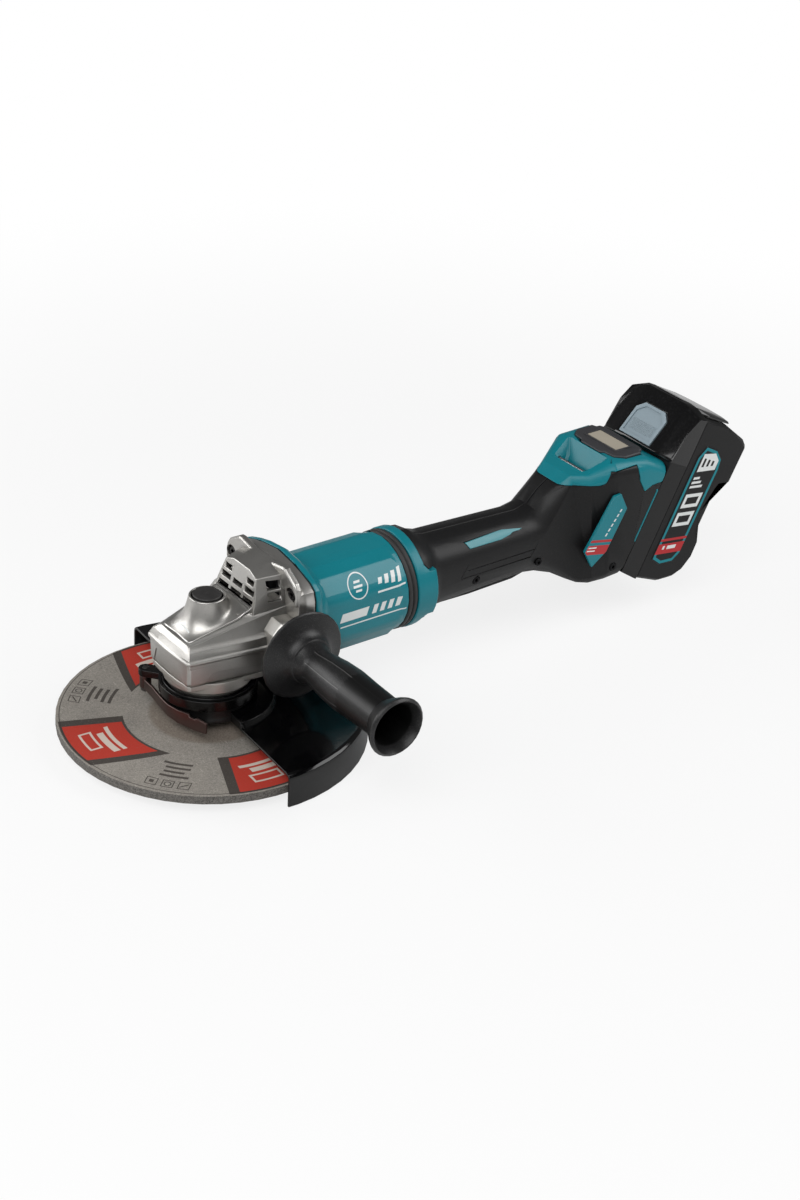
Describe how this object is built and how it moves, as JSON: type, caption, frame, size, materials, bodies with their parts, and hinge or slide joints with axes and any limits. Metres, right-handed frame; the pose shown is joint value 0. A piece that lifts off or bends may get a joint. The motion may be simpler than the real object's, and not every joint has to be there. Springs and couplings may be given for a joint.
{
  "type": "angle grinder",
  "caption": "Large cordless angle grinder: faceted gear case with guard and disc, side handle, motor barrel, paddle grip and sliding battery.",
  "frame": {"origin": "centre of the spindle's end face, under the disc", "axes": "+Z along the spindle towards the gear case, +X along the motor towards the battery, side handle towards -Y"},
  "size_m": [0.626, 0.3001, 0.1762],
  "materials": {
    "cast_aluminium": "satin cast and machined aluminium",
    "steel": "bright ground steel",
    "dark_steel": "dark oxide steel",
    "black_steel": "gloss black paint on pressed steel",
    "teal_plastic": "moulded teal plastic, semi-gloss",
    "black_plastic": "moulded black plastic, fine grain",
    "grey_plastic": "dark grey moulded plastic",
    "gloss_black_plastic": "polished black plastic",
    "rubber": "soft black rubber",
    "abrasive": "bonded abrasive grain with a printed paper face",
    "copper": "wound copper on a steel core",
    "cells": "cylindrical cells",
    "button_blue": "grey-blue moulded plastic",
    "window": "beige translucent cover"
  },
  "bodies": {
    "housing": {"spindle_bearing_lower": "steel", "spindle_bearing_upper": "steel", "rotor_bearing_front": "steel", "rotor_bearing_rear": "steel", "bearing_box": "cast_aluminium", "gear_case": "cast_aluminium", "flange_screw_1": "black_steel", "flange_screw_2": "black_steel", "flange_screw_3": "black_steel", "flange_screw_4": "black_steel", "lock_spring": "steel", "motor_housing": "teal_plastic", "seam_gasket": "rubber", "stator": "copper", "damping_ring": "rubber", "collar": "teal_plastic", "handle_shell_left": "black_plastic", "handle_shell_right": "black_plastic", "side_plate_left": "teal_plastic", "side_plate_right": "teal_plastic", "grip_inlay_left": "teal_plastic", "grip_inlay_right": "teal_plastic", "rear_trim_left": "teal_plastic", "rear_trim_right": "teal_plastic", "shell_screw_1": "dark_steel", "shell_screw_2": "dark_steel", "shell_screw_3": "dark_steel", "top_cap": "teal_plastic", "tether_bar": "steel", "trigger_switch": "black_plastic", "controller": "grey_plastic", "terminal_block": "dark_steel", "paddle_pin": "steel", "paddle_spring": "steel", "side_handle": "black_plastic", "side_handle_stud": "steel"},
    "spindle": {"spindle": "steel", "ring_gear": "steel", "inner_flange": "dark_steel", "grinding_disc": "abrasive", "lock_nut": "dark_steel"},
    "rotor": {"rotor_shaft": "steel", "rotor_core": "dark_steel", "pinion": "steel", "fan": "grey_plastic"},
    "guard": {"guard": "black_steel", "guard_band": "black_steel", "lever_pivot": "dark_steel"},
    "guard_lever": {"guard_lever": "dark_steel"},
    "lock_button": {"lock_button": "black_plastic"},
    "paddle": {"paddle": "black_plastic"},
    "lock_off_lever": {"lock_off_lever": "grey_plastic"},
    "lid": {"lid": "grey_plastic", "lid_window": "window"},
    "battery": {"battery_case": "black_plastic", "battery_cover": "gloss_black_plastic", "cell_pack": "cells"},
    "release_button": {"release_button": "button_blue"}
  },
  "joints": [
    {"name": "spindle_spin", "type": "hinge", "parent": "housing", "child": "spindle", "pos_m": [0, 0, 0], "axis": [0, 0, 1], "continuous": true},
    {"name": "rotor_spin", "type": "hinge", "parent": "housing", "child": "rotor", "pos_m": [0, 0, 0.0737], "axis": [1, 0, 0], "continuous": true},
    {"name": "guard_turn", "type": "hinge", "parent": "housing", "child": "guard", "pos_m": [0, 0, 0.02], "axis": [0, 0, 1], "range_deg": [-90, 75]},
    {"name": "guard_lever_swing", "type": "hinge", "parent": "guard", "child": "guard_lever", "pos_m": [-0.032, 0.038, 0.02], "axis": [0, 0, -1], "range_deg": [0, 95]},
    {"name": "lock_button_press", "type": "slide", "parent": "housing", "child": "lock_button", "axis": [0, 0, -1], "range_m": [0, 0.004], "stiffness_N_per_m": 800, "springref_m": -0.004, "deforming": ["lock_spring"]},
    {"name": "paddle_squeeze", "type": "hinge", "parent": "housing", "child": "paddle", "pos_m": [0.298, 0, 0.0515], "axis": [0, 1, 0], "range_deg": [0, 5], "stiffness_Nm_per_rad": 8, "springref_deg": -3.44, "deforming": ["paddle_spring"]},
    {"name": "lock_off_swing", "type": "hinge", "parent": "paddle", "child": "lock_off_lever", "pos_m": [0.245, 0, 0.0495], "axis": [0, 1, 0], "range_deg": [0, 35], "stiffness_Nm_per_rad": 0.05, "springref_deg": -17.19},
    {"name": "lid_open", "type": "hinge", "parent": "housing", "child": "lid", "pos_m": [0.3689, 0, 0.1391], "axis": [0, -1, 0], "range_deg": [0, 100]},
    {"name": "battery_slide", "type": "slide", "parent": "housing", "child": "battery", "axis": [0.4289, 0, 0.9033], "range_m": [0, 0.12]},
    {"name": "release_press", "type": "slide", "parent": "battery", "child": "release_button", "axis": [0.7166, 0, -0.6975], "range_m": [0, 0.003], "stiffness_N_per_m": 900, "springref_m": -0.003}
  ],
  "couplings": [
    {"joint": "rotor_spin", "follows": "spindle_spin", "ratio": 4.125}
  ]
}
